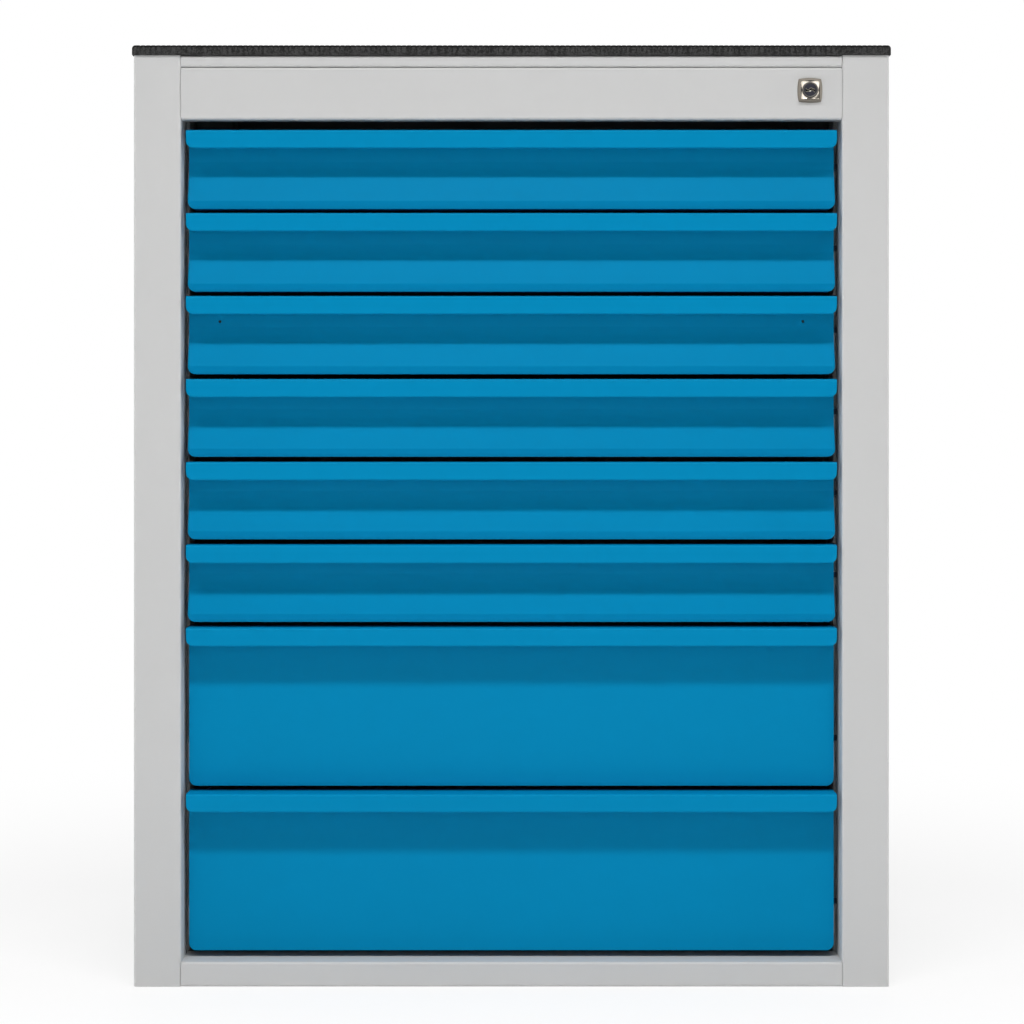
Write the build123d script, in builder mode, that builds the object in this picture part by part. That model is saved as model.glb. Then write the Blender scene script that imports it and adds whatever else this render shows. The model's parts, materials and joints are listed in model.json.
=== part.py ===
"""Floor-standing steel cabinet with eight drawers on telescopic runners and a central lock.

Millimetres, +Z up, front towards -Y, origin at the middle of the footprint.
"""

import os
from math import cos, radians, sin

from build123d import *

# Carcass of folded sheet
body_width = 800.0
body_depth = 600.0
carcass_sheet = 1.5
carcass_bend = 2.5
back_sheet = 1.2
jamb_width = 50.0
jamb_return = 45.0
jamb_hem = 18.0
rear_flange = 22.0
rail_height = 26.0
rail_return = 21.0
rail_ledge = 58.0
rail_ledge_fold = 10.0
header_height = 54.9
header_return = 18.0
header_seam = 0.6
face_corner = 2.5
top_edge = 12.0
strip_return = 18.0
panel_flange = 20.0
base_upstand = 12.0

# Rubber mat on the top
mat_thickness = 10.6
mat_overhang = 2.1
mat_corner = 4.0
mat_edge = 2.5

# Stack of drawers
small_count = 6
large_count = 2
small_module = 88.0
large_module = 176.0
front_gap = 5.5
rail_clearance = 7.0
header_clearance = 11.0

# Drawer fronts
drawer_sheet = 1.2
side_gap = 5.2
lip_recess = 1.0
lip_height = 19.2
lip_projection = 26.0
lip_hem = 5.0
lip_corner = 8.0
lip_fold = 1.5
front_bend = 2.6
pan_depth = 14.0
pan_corner = 8.0
cove_start = 40.0
cove_forward = 10.0
cove_radius = 60.0
strip_height = 8.5
strip_bend = 2.0
back_flange_lap = 6.0
label_hole = 3.0
label_hole_inset = 33.0
label_hole_drop = 26.0

# Drawer trays
tray_drop = 10.0
tray_lift = 6.0
tray_hem = 8.0
tray_rear_space = 39.0

# Runner posts and three-part runners
post_setback = 1.0
post_width = 36.0
post_foot = 14.0
front_post_space = 8.0
rear_post_space = 96.0
runner_pack = 13.0
runner_height = 35.0
runner_sheet = 1.2
runner_bend = 2.0
runner_gap = 0.35
runner_tip_gap = 1.25
runner_rise = 3.0
runner_setback = 3.0
runner_rear_space = 46.0

# Lock
lock_inset = 34.0
lock_rise = 30.5
escutcheon_width = 26.4
escutcheon_side = 22.6
escutcheon_corner = 1.2
escutcheon_thickness = 4.0
escutcheon_edge = 1.5
barrel_diameter = 18.0
barrel_length = 22.0
barrel_play = 0.2
nut_flats = 24.0
nut_thickness = 5.0
plug_head = 16.6
plug_proud = 0.8
plug_seat = 2.0
plug_body = 13.0
plug_play = 0.2
plug_end_play = 0.3
tail_side = 8.0
keyway_width = 1.8
keyway_length = 9.0
keyway_depth = 5.0
crank_radius = 7.0
crank_rest_angle = 225.0
crank_turn = 90.0
cam_sheet = 3.0
cam_hub = 8.0
cam_nose = 5.0
cam_gap = 2.0
crank_pin = 5.0
crank_pin_overrun = 1.0
crank_pin_play = 0.5

# Locking bar, its tabs and the catches on the trays
bar_inset = 2.0
bar_width = 15.0
bar_sheet = 2.0
bar_standoff = 2.0
bar_foot = 12.0
arm_height = 16.0
arm_end = 4.0
guide_pin = 6.0
guide_shoulder = 10.0
guide_head = 11.0
guide_head_thickness = 2.0
guide_play = 0.3
tab_sheet = 2.0
tab_height = 6.0
tab_lap = 10.0
tab_side_gap = 2.0
tab_runner_gap = 1.5
catch_tab_gap = 3.0
catch_height = 7.0
catch_sheet = 2.0
catch_reach = 10.5
catch_length = 22.0
catch_play = 0.6

# Cuts run past the faces that they pass through by this much
overrun = 1.0

# Worked-out places
stack_height = small_count * small_module + large_count * large_module
stack_bottom = rail_height + rail_clearance - front_gap
stack_top = stack_bottom + stack_height
header_bottom = stack_top + header_clearance
header_top = header_bottom + header_height
strip_bottom = header_top + header_seam
body_height = strip_bottom + top_edge

half_width = body_width / 2
opening_half = half_width - jamb_width
skin_inside = half_width - carcass_sheet
back_half = half_width - carcass_bend
lock_projection = escutcheon_thickness + plug_proud
front_overhang = max(mat_overhang, lock_projection)
front_y = (front_overhang - mat_overhang - body_depth) / 2
back_y = front_y + body_depth
back_inside = back_y - carcass_sheet - back_sheet
jamb_back = front_y + jamb_return

front_half = opening_half - side_gap
lip_face = front_y + lip_recess
panel_y = lip_face + lip_projection
tray_front = panel_y + pan_depth
tray_rear = back_y - tray_rear_space
post_face = opening_half - post_setback
tray_half = post_face - runner_pack

bar_front = jamb_back + bar_standoff
bar_back = bar_front + bar_sheet
tab_back = bar_back + tab_sheet
catch_front = tab_back + catch_play
bar_left = opening_half + bar_inset
bar_middle = bar_left + bar_width / 2
runner_front = tab_back + runner_setback
runner_length = back_y - runner_rear_space - runner_front

lock_x = opening_half - lock_inset
lock_z = header_bottom + lock_rise
cam_back = bar_front - cam_gap
crank_x = lock_x + crank_radius * cos(radians(crank_rest_angle))
crank_z = lock_z + crank_radius * sin(radians(crank_rest_angle))
bar_travel = 2 * crank_radius * sin(radians(crank_turn / 2))


class Drawer:
    """Heights of one drawer, found from its place in the stack."""

    def __init__(self, number):
        self.number = number
        self.small = number <= small_count
        modules = [small_module] * small_count + [large_module] * large_count
        self.top = stack_top - sum(modules[: number - 1])
        self.bottom = self.top - modules[number - 1] + front_gap
        self.tray_top = self.top - tray_drop
        self.tray_bottom = self.bottom + tray_lift
        self.runner_middle = self.tray_bottom + runner_rise + runner_height / 2
        self.tab_bottom = self.runner_middle + runner_height / 2 + tab_runner_gap
        self.catch_bottom = self.tab_bottom + tab_height + catch_tab_gap


drawers = [Drawer(number) for number in range(1, small_count + large_count + 1)]
label_drawer = drawers[small_count // 2 - 1]
guide_drawers = [drawers[0], drawers[len(drawers) // 2 - 1], drawers[-1]]


def facing(y):
    """The plane at depth y whose sketches read as the front view and extrude towards the front."""
    return Plane.XZ.offset(-y)


def folded_strip(points, bend, sheet, plane, start, length):
    """A sheet folded along the points on a plane, with its thickness on the right of the path."""
    with BuildPart() as strip:
        with BuildSketch(plane.offset(start)):
            with BuildLine():
                FilletPolyline(*points, radius=bend)
                offset(amount=sheet, side=Side.RIGHT)
            make_face()
        extrude(amount=length)
    return strip.part


def flat_bends(points, bend):
    """The path with each corner cut to a flat, which keeps small hidden folds plain."""
    path = [Vector(*point) for point in points]
    cut = [path[0]]
    for before, corner, after in zip(path, path[1:], path[2:]):
        cut.append(corner + (before - corner).normalized() * bend)
        cut.append(corner + (after - corner).normalized() * bend)
    return cut + [path[-1]]


def save(part, name):
    """Labels one piece and writes its file."""
    part.label = name
    export_step(part, f"parts/{name}.step")


def side_panel():
    """Right side: hem, inner return, jamb face, outer skin and rear flange in one sheet."""
    points = [
        (opening_half + jamb_hem, jamb_back),
        (opening_half, jamb_back),
        (opening_half, front_y),
        (half_width, front_y),
        (half_width, back_y),
        (half_width - rear_flange, back_y),
    ]
    return folded_strip(points[::-1], carcass_bend, carcass_sheet, Plane.XY, 0, body_height)


def back_panel():
    """Flat back sheet on the inside of the rear flanges, clear of their bends."""
    with BuildPart() as back:
        with BuildSketch(facing(back_inside + back_sheet)):
            Rectangle(2 * back_half, body_height, align=(Align.CENTER, Align.MIN))
        extrude(amount=back_sheet)
    return back.part


def notched_for_jambs(sheet, height):
    """Cuts the two front corners of a sheet away, round the jambs."""
    with BuildPart() as notched:
        add(sheet)
        with BuildSketch(Plane.XY.offset(-overrun)):
            with Locations((opening_half, jamb_back)):
                Rectangle(jamb_width, jamb_return + overrun, align=(Align.MIN, Align.MAX))
            mirror(about=Plane.YZ)
        extrude(amount=height + 2 * overrun, mode=Mode.SUBTRACT)
    return notched.part


def top_panel():
    """Top sheet with the front strip, its return and a rear flange."""
    points = [
        (front_y + strip_return, strip_bottom),
        (front_y, strip_bottom),
        (front_y, body_height),
        (back_inside, body_height),
        (back_inside, body_height - panel_flange),
    ]
    sheet = folded_strip(points, carcass_bend, carcass_sheet, Plane.YZ, -skin_inside, 2 * skin_inside)
    return notched_for_jambs(sheet, body_height)


def base_panel():
    """Floor sheet with an upstand behind the bottom rail and one at the back."""
    start = front_y + rail_return
    points = [(start, base_upstand), (start, 0), (back_inside, 0), (back_inside, panel_flange)]
    sheet = folded_strip(points[::-1], carcass_bend, carcass_sheet, Plane.YZ, -skin_inside, 2 * skin_inside)
    return notched_for_jambs(sheet, body_height)


def eased_face(channel, middle, height):
    """The channel with the corners of its face rounded, through the depth of its bends."""
    with BuildPart() as eased:
        add(channel)
        with BuildSketch(facing(front_y + carcass_bend)):
            with Locations((0, middle)):
                Rectangle(2 * half_width, height + 2 * overrun)
                RectangleRounded(2 * opening_half, height, face_corner, mode=Mode.SUBTRACT)
        extrude(amount=carcass_bend + overrun, mode=Mode.SUBTRACT)
    return eased.part


def header_fascia():
    """Channel across the front above the drawers, with the hole for the lock."""
    points = [
        (front_y + rail_return, header_bottom),
        (front_y, header_bottom),
        (front_y, header_top),
        (front_y + header_return, header_top),
    ]
    sheet = folded_strip(points, carcass_bend, carcass_sheet, Plane.YZ, -opening_half, 2 * opening_half)
    with BuildPart() as header:
        add(eased_face(sheet, (header_bottom + header_top) / 2, header_height))
        with BuildSketch(facing(front_y + carcass_sheet + overrun)):
            with Locations((lock_x, lock_z)):
                Circle(barrel_diameter / 2 + barrel_play)
        extrude(amount=carcass_sheet + 2 * overrun, mode=Mode.SUBTRACT)
    return header.part


def bottom_rail():
    """Channel across the front under the drawers, with a deep ledge that folds down at its rear edge."""
    points = [
        (front_y + rail_return, 0),
        (front_y, 0),
        (front_y, rail_height),
        (front_y + rail_ledge, rail_height),
        (front_y + rail_ledge, rail_height - rail_ledge_fold),
    ]
    sheet = folded_strip(points, carcass_bend, carcass_sheet, Plane.YZ, -opening_half, 2 * opening_half)
    return eased_face(sheet, 0, 2 * rail_height)


def top_mat():
    """Rubber mat with rounded corners and a bevelled upper edge."""
    width = body_width + 2 * mat_overhang
    depth = body_depth + 2 * mat_overhang
    with BuildPart() as mat:
        with BuildSketch(Plane.XY.offset(body_height)):
            with Locations((0, (front_y + back_y) / 2)):
                RectangleRounded(width, depth, mat_corner)
        extrude(amount=mat_thickness)
        chamfer(mat.faces().sort_by(Axis.Z)[-1].edges(), length=mat_edge)
    return mat.part


def runner_posts():
    """Front and rear upright of the right side, hat sections from the skin to the runner plane."""
    fronts = [runner_front + front_post_space, back_y - rear_post_space]
    foot_x = skin_inside - carcass_sheet
    with BuildPart() as posts:
        for near in fronts:
            far = near + post_width
            points = [
                (foot_x, near - post_foot),
                (foot_x, near),
                (post_face, near),
                (post_face, far),
                (foot_x, far),
                (foot_x, far + post_foot),
            ]
            with BuildSketch(Plane.XY.offset(carcass_sheet)):
                with BuildLine():
                    Polyline(*flat_bends(points, carcass_bend))
                    offset(amount=carcass_sheet, kind=Kind.INTERSECTION, side=Side.RIGHT)
                make_face()
        extrude(amount=body_height - 2 * carcass_sheet)
    return posts.part


def runner_channel(web_x, tip_x, height, middle):
    """One runner member: a channel from its web to its flange tips, centred on a height."""
    points = [
        (tip_x, middle + height / 2),
        (web_x, middle + height / 2),
        (web_x, middle - height / 2),
        (tip_x, middle - height / 2),
    ]
    side = Side.RIGHT if web_x > tip_x else Side.LEFT
    with BuildPart() as channel:
        with BuildSketch(facing(runner_front + runner_length)):
            with BuildLine():
                Polyline(*flat_bends(points, runner_bend))
                offset(amount=runner_sheet, kind=Kind.INTERSECTION, side=side)
            make_face()
        extrude(amount=runner_length)
    return channel.part


nesting_step = runner_sheet + runner_gap
middle_height = runner_height - 2 * nesting_step
inner_height = middle_height - 2 * nesting_step
middle_web = post_face - nesting_step
inner_tip = middle_web - runner_sheet - runner_tip_gap
flange_tip = tray_half + runner_tip_gap


def outer_rails():
    """Cabinet members on the right posts, one for each drawer."""
    channels = [
        runner_channel(post_face, flange_tip, runner_height, drawer.runner_middle) for drawer in drawers
    ]
    with BuildPart() as rails:
        add(channels)
    return rails.part


def middle_rails(drawer):
    """Middle members of one drawer, left and right."""
    channel = runner_channel(middle_web, flange_tip, middle_height, drawer.runner_middle)
    with BuildPart() as rails:
        add(channel)
        mirror(about=Plane.YZ)
    return rails.part


def inner_rails(drawer):
    """Drawer members on the walls of one tray, left and right."""
    channel = runner_channel(tray_half, inner_tip, inner_height, drawer.runner_middle)
    with BuildPart() as rails:
        add(channel)
        mirror(about=Plane.YZ)
    return rails.part


def front_pan(drawer):
    """The panel of a front with its returns and rear flanges, with a cove on the shallow fronts."""
    if drawer.small:
        strip_y = panel_y - cove_forward
        points = [
            (panel_y, drawer.top),
            (panel_y, drawer.top - cove_start),
            (strip_y, drawer.bottom + strip_height),
            (strip_y, drawer.bottom),
            (tray_front, drawer.bottom),
            (tray_front, drawer.top),
        ]
    else:
        points = [
            (panel_y, drawer.top),
            (panel_y, drawer.bottom),
            (tray_front, drawer.bottom),
            (tray_front, drawer.top),
        ]
    with BuildPart() as pan:
        with BuildSketch(Plane.YZ):
            with BuildLine():
                if drawer.small:
                    FilletPolyline(*points[:4], radius=(cove_radius, strip_bend))
                    Polyline(*points[3:], points[0])
                else:
                    Polyline(*points, close=True)
            make_face()
        extrude(amount=front_half, both=True)
        lower_corners = pan.edges().filter_by(Axis.Y).group_by(Axis.Z)[0]
        fillet(lower_corners, radius=pan_corner)
        offset(amount=-drawer_sheet, openings=pan.faces().sort_by(Axis.Y)[-1])
        with BuildSketch(facing(tray_front)) as flange:
            with Locations((0, drawer.bottom)):
                Rectangle(2 * front_half, drawer.top - drawer.bottom, align=(Align.CENTER, Align.MIN))
            fillet(flange.vertices().group_by(Axis.Y)[0], radius=pan_corner)
            with Locations((0, (drawer.tray_top + drawer.tray_bottom) / 2)):
                Rectangle(
                    2 * (tray_half - back_flange_lap),
                    drawer.tray_top - drawer.tray_bottom - 2 * back_flange_lap,
                    mode=Mode.SUBTRACT,
                )
        extrude(amount=drawer_sheet)
    return pan.part


def drawer_front(drawer):
    """Front of one drawer: panel with returns and the hooked lip that the fingers pull on."""
    points = [
        (lip_face + lip_hem, drawer.top - lip_height),
        (lip_face, drawer.top - lip_height),
        (lip_face, drawer.top),
        (panel_y + drawer_sheet, drawer.top),
    ]
    bends = [lip_fold, front_bend]
    lip = folded_strip(points, bends, drawer_sheet, Plane.YZ, -front_half, 2 * front_half)
    pan = front_pan(drawer)
    with BuildPart() as front:
        add(lip)
        with BuildSketch(facing(panel_y + drawer_sheet + overrun)) as outline:
            with Locations((0, drawer.top)):
                Rectangle(2 * front_half, lip_height, align=(Align.CENTER, Align.MAX))
            fillet(outline.vertices().group_by(Axis.Y)[0], radius=lip_corner)
        extrude(amount=lip_projection + drawer_sheet + 2 * overrun, mode=Mode.INTERSECT)
        add(pan)
        if drawer is label_drawer:
            hole_x = front_half - label_hole_inset
            with BuildSketch(facing(panel_y + drawer_sheet + overrun)):
                with Locations((-hole_x, drawer.top - label_hole_drop), (hole_x, drawer.top - label_hole_drop)):
                    Circle(label_hole / 2)
            extrude(amount=drawer_sheet + 2 * overrun, mode=Mode.SUBTRACT)
    return front.part


def drawer_tray(drawer):
    """Open tray with hemmed walls, whose front wall closes the back of the drawer front."""
    height = drawer.tray_top - drawer.tray_bottom
    depth = tray_rear - tray_front
    with BuildPart() as tray:
        with BuildSketch(Plane.XY.offset(drawer.tray_bottom)):
            with Locations((0, tray_front)):
                Rectangle(2 * tray_half, depth, align=(Align.CENTER, Align.MIN))
        extrude(amount=height)
        offset(amount=-drawer_sheet, openings=tray.faces().sort_by(Axis.Z)[-1])
        with BuildSketch(Plane.XY.offset(drawer.tray_top - tray_hem)):
            with Locations((0, (tray_front + tray_rear) / 2)):
                Rectangle(2 * tray_half, depth)
                Rectangle(2 * tray_half - 4 * drawer_sheet, depth - 4 * drawer_sheet, mode=Mode.SUBTRACT)
        extrude(amount=tray_hem)
    return tray.part


def drawer_catch(drawer):
    """Angle on the right wall of a tray, just behind the locking tab of that drawer."""
    with BuildPart() as catch:
        with BuildSketch(Plane.XY.offset(drawer.catch_bottom)):
            with Locations((tray_half, catch_front)):
                Rectangle(catch_reach, catch_sheet, align=(Align.MIN, Align.MIN))
                Rectangle(catch_sheet, catch_length, align=(Align.MIN, Align.MIN))
        extrude(amount=catch_height)
    return catch.part


def lock_axis_plane(y):
    """The plane at depth y, facing the front, with its origin on the lock's axis."""
    return Plane((lock_x, y, lock_z), x_dir=(1, 0, 0), z_dir=(0, -1, 0))


def lock_housing():
    """Pillow-shaped escutcheon on the header, with the barrel that goes through it."""
    corner = escutcheon_side / 2
    bulge = (escutcheon_width - escutcheon_side) / 2
    seat = front_y + plug_seat
    with BuildPart() as housing:
        with BuildSketch(lock_axis_plane(front_y)) as pillow:
            with BuildLine():
                SagittaArc((-corner, -corner), (corner, -corner), -bulge)
                SagittaArc((corner, -corner), (corner, corner), -bulge)
                SagittaArc((corner, corner), (-corner, corner), -bulge)
                SagittaArc((-corner, corner), (-corner, -corner), -bulge)
            make_face()
            chamfer(pillow.vertices(), length=escutcheon_corner)
        extrude(amount=escutcheon_thickness)
        chamfer(housing.faces().sort_by(Axis.Y)[0].edges(), length=escutcheon_edge)
        with BuildSketch(lock_axis_plane(front_y + barrel_length)):
            Circle(barrel_diameter / 2)
        extrude(amount=barrel_length)
        with BuildSketch(lock_axis_plane(seat)):
            Circle(plug_head / 2 + plug_play)
        extrude(amount=plug_seat + escutcheon_thickness + overrun, mode=Mode.SUBTRACT)
        with BuildSketch(lock_axis_plane(front_y + barrel_length + overrun)):
            Circle(plug_body / 2 + plug_play)
        extrude(amount=barrel_length + overrun, mode=Mode.SUBTRACT)
    return housing.part


def lock_nut():
    """Hexagon nut that clamps the barrel behind the header."""
    with BuildPart() as nut:
        with BuildSketch(lock_axis_plane(front_y + carcass_sheet + nut_thickness)):
            RegularPolygon(nut_flats / 2, 6, major_radius=False)
            Circle(barrel_diameter / 2 + barrel_play, mode=Mode.SUBTRACT)
        extrude(amount=nut_thickness)
    return nut.part


def lock_plug():
    """Turning plug: head with keyway, body in the barrel and a square tail for the cam."""
    shoulder = front_y + plug_seat - plug_end_play
    face = front_y - lock_projection
    body_end = front_y + barrel_length + plug_end_play
    with BuildPart() as plug:
        with BuildSketch(lock_axis_plane(shoulder)):
            Circle(plug_head / 2)
        extrude(amount=shoulder - face)
        with BuildSketch(lock_axis_plane(body_end)):
            Circle(plug_body / 2)
        extrude(amount=body_end - shoulder)
        with BuildSketch(lock_axis_plane(cam_back)):
            Rectangle(tail_side, tail_side)
        extrude(amount=cam_back - body_end)
        with BuildSketch(lock_axis_plane(face + keyway_depth)):
            SlotOverall(keyway_length, keyway_width)
        extrude(amount=keyway_depth + overrun, mode=Mode.SUBTRACT)
    return plug.part


def lock_cam():
    """Crank on the plug's tail, with the pin that lifts the locking bar."""
    crank = (crank_x - lock_x, crank_z - lock_z)
    with BuildPart() as cam:
        with BuildSketch(lock_axis_plane(cam_back)):
            Circle(cam_hub)
            with Locations(crank):
                Circle(cam_nose)
            make_hull()
            Rectangle(tail_side, tail_side, mode=Mode.SUBTRACT)
        extrude(amount=cam_sheet)
        with BuildSketch(lock_axis_plane(bar_back + crank_pin_overrun)):
            with Locations(crank):
                Circle(crank_pin / 2)
        extrude(amount=bar_back + crank_pin_overrun - cam_back)
    return cam.part


def locking_bar():
    """Flat bar beside the drawers, with guide slots, and an arm whose slot takes the crank pin."""
    pin_room = crank_pin / 2 + crank_pin_play
    slot_left = lock_x - crank_radius - pin_room
    slot_right = crank_x + pin_room
    arm_left = slot_left - arm_end
    foot = drawers[-1].runner_middle - bar_travel - bar_foot
    arm_top = crank_z + arm_height / 2
    guide_slot = bar_travel + guide_pin + 2 * guide_play
    with BuildPart() as bar:
        with BuildSketch(facing(bar_back)):
            with Locations((bar_left, foot)):
                Rectangle(bar_width, arm_top - foot, align=(Align.MIN, Align.MIN))
            with Locations((arm_left, crank_z)):
                Rectangle(bar_left + bar_width - arm_left, arm_height, align=(Align.MIN, Align.CENTER))
            with Locations(((slot_left + slot_right) / 2, crank_z)):
                SlotOverall(slot_right - slot_left, 2 * pin_room, mode=Mode.SUBTRACT)
            for drawer in guide_drawers:
                with Locations((bar_middle, drawer.runner_middle - bar_travel / 2)):
                    SlotOverall(guide_slot, guide_pin + 2 * guide_play, rotation=90, mode=Mode.SUBTRACT)
        extrude(amount=bar_sheet)
    return bar.part


def locking_tabs():
    """Tabs on the back of the bar, one under the catch of each drawer."""
    tip = tray_half + tab_side_gap
    with BuildPart() as tabs:
        with BuildSketch(facing(tab_back)):
            for drawer in drawers:
                with Locations((tip, drawer.tab_bottom)):
                    Rectangle(bar_left + tab_lap - tip, tab_height, align=(Align.MIN, Align.MIN))
        extrude(amount=tab_sheet)
    return tabs.part


def locking_bar_guides():
    """Pins on the jamb's hem, on which the bar slides, each with a hexagon spacer and head."""
    shoulder_back = bar_front - guide_play
    head_front = bar_back + guide_play
    head_back = head_front + guide_head_thickness
    places = [(bar_middle, drawer.runner_middle) for drawer in guide_drawers]
    with BuildPart() as guides:
        with BuildSketch(facing(shoulder_back)):
            with Locations(places):
                RegularPolygon(guide_shoulder / 2, 6, major_radius=False)
        extrude(amount=shoulder_back - jamb_back)
        with BuildSketch(facing(head_front)):
            with Locations(places):
                Circle(guide_pin / 2)
        extrude(amount=head_front - shoulder_back)
        with BuildSketch(facing(head_back)):
            with Locations(places):
                RegularPolygon(guide_head / 2, 6, major_radius=False)
        extrude(amount=guide_head_thickness)
    return guides.part


def mirrored(part):
    """The same piece on the other side of the cabinet."""
    with BuildPart() as other:
        mirror(part, about=Plane.YZ)
    return other.part


os.makedirs("parts", exist_ok=True)

right_side = side_panel()
right_posts = runner_posts()
right_outer_rails = outer_rails()
save(mirrored(right_side), "left_side_panel")
save(right_side, "right_side_panel")
save(mirrored(right_posts), "left_runner_posts")
save(right_posts, "right_runner_posts")
save(mirrored(right_outer_rails), "left_outer_rails")
save(right_outer_rails, "right_outer_rails")
save(back_panel(), "back_panel")
save(top_panel(), "top_panel")
save(base_panel(), "base_panel")
save(header_fascia(), "header_fascia")
save(bottom_rail(), "bottom_rail")
save(top_mat(), "top_mat")

for drawer in drawers:
    save(drawer_front(drawer), f"drawer_{drawer.number}_front")
    save(drawer_tray(drawer), f"drawer_{drawer.number}_tray")
    save(inner_rails(drawer), f"drawer_{drawer.number}_inner_rails")
    save(middle_rails(drawer), f"drawer_{drawer.number}_middle_rails")
    save(drawer_catch(drawer), f"drawer_{drawer.number}_catch")

save(lock_housing(), "lock_housing")
save(lock_nut(), "lock_nut")
save(lock_plug(), "lock_plug")
save(lock_cam(), "lock_cam")
save(locking_bar(), "locking_bar")
save(locking_tabs(), "locking_tabs")
save(locking_bar_guides(), "locking_bar_guides")
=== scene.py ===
"""Dresses a floor-standing drawer cabinet: paint, plated runners, ribbed mat, lock, rivets and studio.

Metres, +Z up, front towards -Y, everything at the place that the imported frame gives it.
"""

import json
import math

import bmesh
import bpy
import numpy as np
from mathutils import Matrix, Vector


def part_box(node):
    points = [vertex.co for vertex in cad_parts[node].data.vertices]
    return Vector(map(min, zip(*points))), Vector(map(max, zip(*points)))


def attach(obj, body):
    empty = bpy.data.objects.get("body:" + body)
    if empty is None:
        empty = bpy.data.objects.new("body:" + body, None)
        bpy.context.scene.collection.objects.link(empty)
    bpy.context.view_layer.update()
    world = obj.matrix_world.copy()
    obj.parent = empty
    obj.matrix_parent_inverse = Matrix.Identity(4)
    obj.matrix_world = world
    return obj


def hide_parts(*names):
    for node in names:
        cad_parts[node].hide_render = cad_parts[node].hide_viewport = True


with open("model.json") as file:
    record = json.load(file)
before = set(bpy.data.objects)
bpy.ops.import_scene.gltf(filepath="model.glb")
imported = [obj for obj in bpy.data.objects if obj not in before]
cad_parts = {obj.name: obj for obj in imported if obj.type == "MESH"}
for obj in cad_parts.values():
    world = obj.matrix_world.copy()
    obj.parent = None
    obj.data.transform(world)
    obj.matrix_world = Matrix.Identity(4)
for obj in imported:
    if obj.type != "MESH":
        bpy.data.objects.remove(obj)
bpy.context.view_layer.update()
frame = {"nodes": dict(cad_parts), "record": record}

bl_info = {
    "name": "Drawer cabinet dresser",
    "version": (1, 0, 0),
    "blender": (4, 5, 0),
    "location": "View3D > Sidebar > Cabinet",
    "description": "Paints the drawer cabinet and adds its mat, lock face, rivets and studio",
    "category": "Object",
}

# What the frame gives: places, sizes, the number of drawers and the nodes of each material slot

MAT_LOW, MAT_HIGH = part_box("top_mat")
HOUSING_LOW, HOUSING_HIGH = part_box("lock_housing")
PLUG_LOW, PLUG_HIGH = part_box("lock_plug")
FRONT_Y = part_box("header_fascia")[0].y
SIDE_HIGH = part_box("right_side_panel")[1]
LOCK_X = (HOUSING_LOW.x + HOUSING_HIGH.x) / 2
LOCK_Z = (HOUSING_LOW.z + HOUSING_HIGH.z) / 2
HOUSING_HALF = (HOUSING_HIGH.x - HOUSING_LOW.x) / 2
BARREL_LENGTH = HOUSING_HIGH.y - FRONT_Y
HEAD_RADIUS = (PLUG_HIGH.x - PLUG_LOW.x) / 2
DRAWER_COUNT = sum(name.endswith("_tray") for name in frame["nodes"])
NODES_OF_SLOT = {}
for row in frame["record"]["subparts"]:
    NODES_OF_SLOT.setdefault(row["material_slot"], []).append(row["node"])

# Sizes of the solids that their boxes don't show

REAR_FLANGE = 0.022
TRAY_SHEET = 0.0012
BARREL_RADIUS = 0.009
BODY_RADIUS = 0.0065
TAIL_RADIUS = 0.004
HEAD_SEAT = 0.002
PLUG_PLAY = 0.0002
PLUG_END_PLAY = 0.0003

# Ribs of the mat over one pitch, and the shares of its height where grooves end and fade

RIB_PLACES = np.array([0.0, 0.10, 0.22, 0.5, 0.78, 0.90])
RIB_DEPTHS = np.array([1.0, 0.45, 0.0, 0.0, 0.0, 0.45])
RIB_MIDDLE = 0.5
GROOVE_FOOT = 0.12
GROOVE_FADE = 0.20

# Ends of the mat: rise of the underside and loss of height, in shares of the inset there

END_RISE = 0.25
END_LOSS = 1.10

# Black band round the mat's top: its upper end, in groove depths below the top, and its soft borders

BAND_TOP = 1.15
BAND_BLUR = 0.0003
CROWN_BLUR = 0.0001

# Powers of the escutcheon's curves

RIDGE_POWER = 12.0
CORNER_POWER = 90.0
BORDER_POWER = 1.25

# Painted shade and dark reflection on the escutcheon: strengths, spreads in radians or in shares of plate
# and border

PAINTED_DARK_REFLECTION = 0.93
DARK_REFLECTION_ANGLE = 1.75 * math.pi
DARK_REFLECTION_SPREAD = 0.42
RIDGE_SHADE = 0.75
RIDGE_SPREAD = 0.12
HOLE_SHADE = 0.5
HOLE_SPREAD = 0.15
SIDE_DARK_REFLECTION = 0.72
OUTLINE_SHADE = 0.85
OUTLINE_SPREAD = 0.10

# Rim and turned ring of the plug's face: heights, and places in shares of its radius

FACE_SINK = 0.0005
RIM_HEIGHT = 0.00045
RIM_START = 0.78
RIM_ROUNDING = 0.0005
ROUNDING_START = 0.93
RIM_SLOPE = 0.07
RING_DEPTH = 0.00025
RING_PLACE = 0.76
RING_SPREAD = 0.025

# Keyway in the plug's face: swing and swell of its walls, their wavelengths, and the wafer in it

KEYWAY_SWING = 0.0009
SWING_WAVE = 0.0078
SWING_LEAD = 0.5
KEYWAY_SWELL = 0.00035
SWELL_WAVE = 0.0046
KEYWAY_WALL = 0.0003
KEYWAY_END_WALL = 0.0004
WAFER_X = -0.0003
WAFER_Z = -0.0011
WAFER_HALF_WIDTH = 0.0010
WAFER_HALF_HEIGHT = 0.0006
WAFER_RISE = 0.9

# Wear on the plug's rim, in shares of its radius, and a painted glint beside the keyway

RIM_WEAR = 0.35
RIM_WEAR_PLACE = 0.88
RIM_WEAR_SPREAD = 0.05
EDGE_GLINT_PLACE = 0.0002
EDGE_GLINT_SPREAD = 0.00025

# Rivets along a runner, in shares of its length, and the two directions that rivets face along

RUNNER_RIVETS = np.array([0.12, 0.5, 0.88])
SIDEWAYS, BACKWARDS = np.eye(3)[:2]

# Plain colours: those of small marks, painted shade and a painted glint among them, and the studio's
# white

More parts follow.
